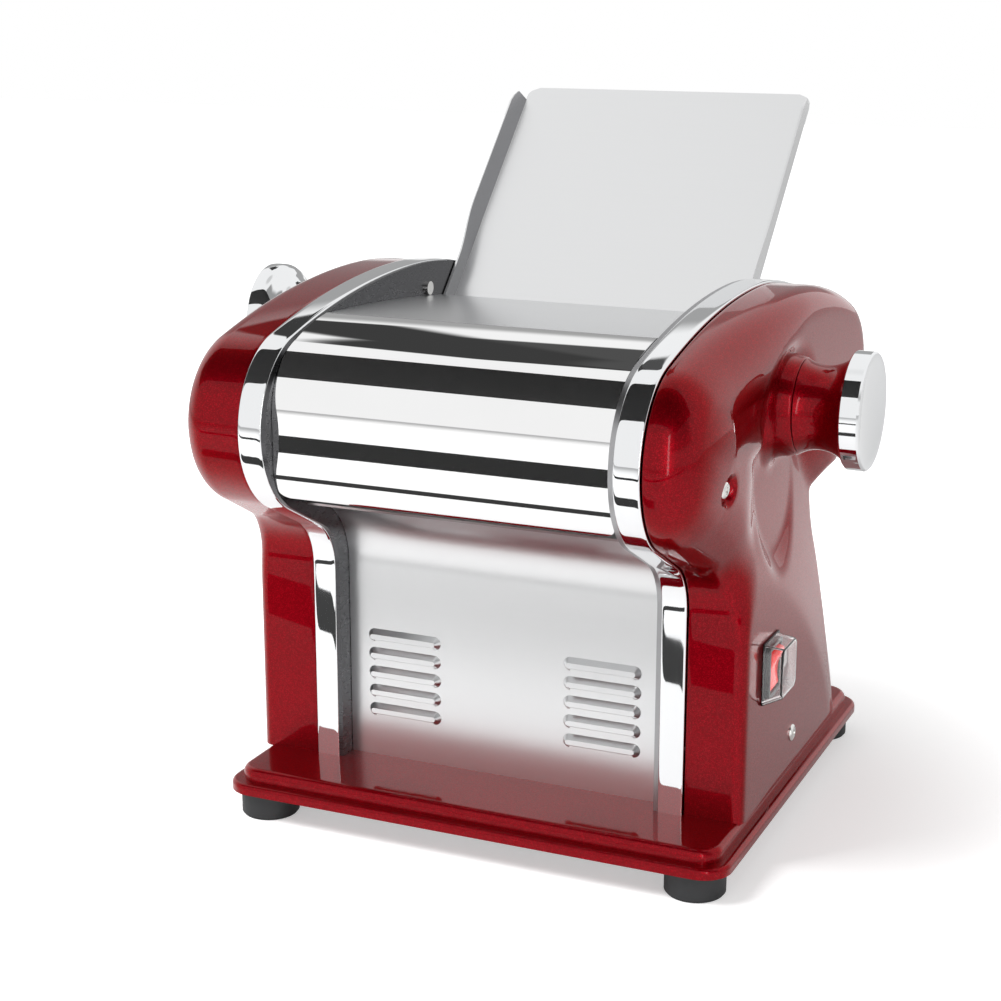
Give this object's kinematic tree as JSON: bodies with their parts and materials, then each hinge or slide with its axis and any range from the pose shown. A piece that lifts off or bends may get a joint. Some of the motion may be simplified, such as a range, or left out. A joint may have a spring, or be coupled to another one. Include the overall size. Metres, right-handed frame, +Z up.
{
  "type": "electric pasta maker",
  "caption": "Countertop electric pasta maker with sheeting rollers, noodle cutters, a sloping dough tray, setting dials and a hooded switch in an arched red housing.",
  "frame": {"origin": "middle of the footprint, on the surface the feet stand on", "axes": "+X to the right along the roller axes, +Y to the back, +Z up; noodles leave at the front, towards -Y"},
  "size_m": [0.299, 0.2751, 0.3122],
  "materials": {
    "red_enamel": "gloss metallic",
    "red_shell": "metallic flake under clear coat",
    "chrome_trim": "mirror polished",
    "satin_steel": "satin",
    "frame_steel": "dull grey",
    "roller_steel": "ground",
    "roller_alloy": "ground",
    "gear_steel": "machined",
    "pulley_metal": "machined",
    "bush_brass": "turned",
    "black_rubber": "matte",
    "black_plastic": "matte",
    "comb_metal": "satin",
    "signal_red": "gloss",
    "clear_plastic": "clear",
    "motor_grey": "satin",
    "screw_zinc": "zinc plated"
  },
  "bodies": {
    "housing": {"base_plate": "red_enamel", "bottom_sheet": "frame_steel", "cord_gland": "black_plastic", "cover_screws": "screw_zinc", "drive_belt": "black_rubber", "foot_screws": "screw_zinc", "front_panel": "satin_steel", "gearbox": "motor_grey", "idler_pin": "frame_steel", "lower_comb": "comb_metal", "lower_scraper": "black_plastic", "motor": "motor_grey", "motor_cradle": "frame_steel", "rear_panel": "satin_steel", "roller_bushes": "bush_brass", "roller_cover": "chrome_trim", "rubber_feet": "black_rubber", "sheet_chute": "satin_steel", "side_cover_left": "red_shell", "side_cover_right": "red_shell", "side_frame_left": "frame_steel", "side_frame_right": "frame_steel", "switch_body": "black_plastic", "switch_hood": "clear_plastic", "tie_rods": "frame_steel", "top_plate": "satin_steel", "tray_rails": "satin_steel", "trim_left": "chrome_trim", "trim_right": "chrome_trim", "upper_comb": "comb_metal", "wall_rivets": "screw_zinc"},
    "gap_carriage": {"bearing_blocks": "frame_steel", "upper_scraper": "black_plastic"},
    "upper_roller_set": {"upper_roller": "roller_alloy", "upper_roller_gear": "gear_steel"},
    "lower_roller_set": {"lower_roller": "roller_alloy", "lower_roller_gear": "gear_steel", "roller_pulley": "pulley_metal"},
    "lower_cutter_set": {"lower_cutter": "roller_steel", "lower_cutter_gear": "gear_steel", "cutter_pulley": "pulley_metal"},
    "upper_cutter_set": {"upper_cutter": "roller_steel", "upper_cutter_gear": "gear_steel"},
    "idler_set": {"idler_gear": "gear_steel"},
    "drive_set": {"motor_pinion": "gear_steel", "motor_shaft": "roller_steel"},
    "gap_dial_set": {"gap_dial": "red_shell", "gap_dial_cap": "chrome_trim", "gap_dial_spindle": "roller_steel"},
    "left_dial_set": {"left_dial": "red_shell", "left_dial_cap": "chrome_trim", "left_dial_spindle": "roller_steel"},
    "tray_set": {"dough_tray": "satin_steel"},
    "rocker_set": {"switch_rocker": "signal_red"}
  },
  "joints": [
    {"name": "lower_roller_spin", "type": "hinge", "parent": "housing", "child": "lower_roller_set", "pos_m": [0, -0.01423, 0.16118], "axis": [1, 0, 0], "continuous": true},
    {"name": "gap_slide", "type": "slide", "parent": "housing", "child": "gap_carriage", "axis": [0, -0.342, 0.9397], "range_m": [0, 0.0024], "stiffness_N_per_m": 100, "springref_m": 0.0399},
    {"name": "upper_roller_spin", "type": "hinge", "parent": "gap_carriage", "child": "upper_roller_set", "pos_m": [0, -0.026, 0.1935], "axis": [1, 0, 0], "continuous": true},
    {"name": "lower_cutter_spin", "type": "hinge", "parent": "housing", "child": "lower_cutter_set", "pos_m": [0, -0.09312, 0.16283], "axis": [1, 0, 0], "continuous": true},
    {"name": "upper_cutter_spin", "type": "hinge", "parent": "housing", "child": "upper_cutter_set", "pos_m": [0, -0.10688, 0.18117], "axis": [1, 0, 0], "continuous": true},
    {"name": "idler_spin", "type": "hinge", "parent": "housing", "child": "idler_set", "pos_m": [-0.0835, -0.00434, 0.12426], "axis": [1, 0, 0], "continuous": true},
    {"name": "drive_spin", "type": "hinge", "parent": "housing", "child": "drive_set", "pos_m": [-0.0835, -0.01374, 0.08918], "axis": [1, 0, 0], "continuous": true},
    {"name": "gap_dial_turn", "type": "hinge", "parent": "housing", "child": "gap_dial_set", "pos_m": [0.13, -0.026, 0.1935], "axis": [1, 0, 0], "range_deg": [0, 300]},
    {"name": "left_dial_turn", "type": "hinge", "parent": "housing", "child": "left_dial_set", "pos_m": [-0.13, -0.002, 0.2095], "axis": [-1, 0, 0], "range_deg": [0, 300]},
    {"name": "tray_lift", "type": "slide", "parent": "housing", "child": "tray_set", "axis": [0, 0.7071, 0.7071], "range_m": [0, 0.15]},
    {"name": "switch_rock", "type": "hinge", "parent": "housing", "child": "rocker_set", "pos_m": [0.1144, -0.0426, 0.0815], "axis": [0, 1, 0], "range_deg": [-18, 0]}
  ],
  "couplings": [
    {"joint": "upper_roller_spin", "follows": "lower_roller_spin", "ratio": -1},
    {"joint": "lower_cutter_spin", "follows": "lower_roller_spin", "ratio": 1.4167},
    {"joint": "upper_cutter_spin", "follows": "lower_roller_spin", "ratio": -1.4167},
    {"joint": "idler_spin", "follows": "lower_roller_spin", "ratio": -0.81818},
    {"joint": "drive_spin", "follows": "lower_roller_spin", "ratio": 1.125},
    {"joint": "gap_slide", "follows": "gap_dial_turn", "m_per_rad": 0.000458}
  ]
}
